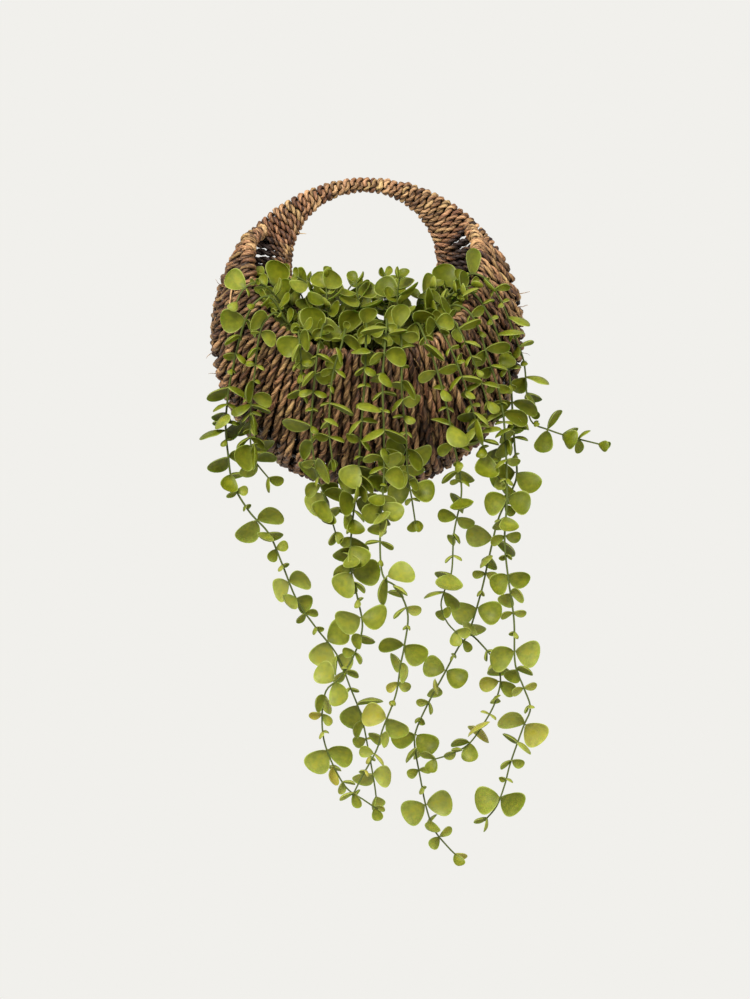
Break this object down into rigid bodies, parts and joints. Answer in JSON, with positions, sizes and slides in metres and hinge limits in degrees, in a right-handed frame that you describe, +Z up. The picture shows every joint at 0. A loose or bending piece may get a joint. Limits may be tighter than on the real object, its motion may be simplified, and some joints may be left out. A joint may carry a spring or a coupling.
{
  "type": "hanging basket with a trailing plant",
  "caption": "Round wall basket wound from twisted seagrass rope, hung by its ring handle, with a trailing plant of small round leaves spilling from its pocket.",
  "frame": {"origin": "hook point: middle of the underside of the ring handle, over the clear hand hole", "axes": "+Z up, front faces -Y, +X to the right as seen from the front; the wall is at +Y"},
  "size_m": [0.3502, 0.1583, 0.6025],
  "materials": {
    "seagrass_rope": "dry twisted plant fibre",
    "wire": "satin",
    "planting_block": "matte foam dressed with fibre",
    "leaf_stem": "waxy"
  },
  "bodies": {
    "root": {"wire_frame": "wire", "rope_handle": "seagrass_rope", "rope_back_panel": "seagrass_rope", "rope_front_panel": "seagrass_rope", "growing_block": "planting_block", "stem_left_long": "leaf_stem", "stem_left_short": "leaf_stem", "stem_front_twig": "leaf_stem", "stem_front_left": "leaf_stem", "stem_bottom_left": "leaf_stem", "stem_centre_long": "leaf_stem", "stem_centre_fall": "leaf_stem", "stem_front_right": "leaf_stem", "stem_right_fall": "leaf_stem", "stem_right_spray": "leaf_stem", "stem_right_bright": "leaf_stem", "stem_right_long": "leaf_stem", "stem_right_trail": "leaf_stem", "stem_far_right": "leaf_stem", "stem_top_1": "leaf_stem", "stem_top_2": "leaf_stem", "stem_top_3": "leaf_stem", "stem_top_4": "leaf_stem", "stem_top_5": "leaf_stem", "stem_top_6": "leaf_stem", "stem_top_7": "leaf_stem", "stem_top_8": "leaf_stem", "stem_top_9": "leaf_stem", "stem_top_10": "leaf_stem", "stem_top_11": "leaf_stem", "stem_top_12": "leaf_stem"}
  },
  "joints": []
}
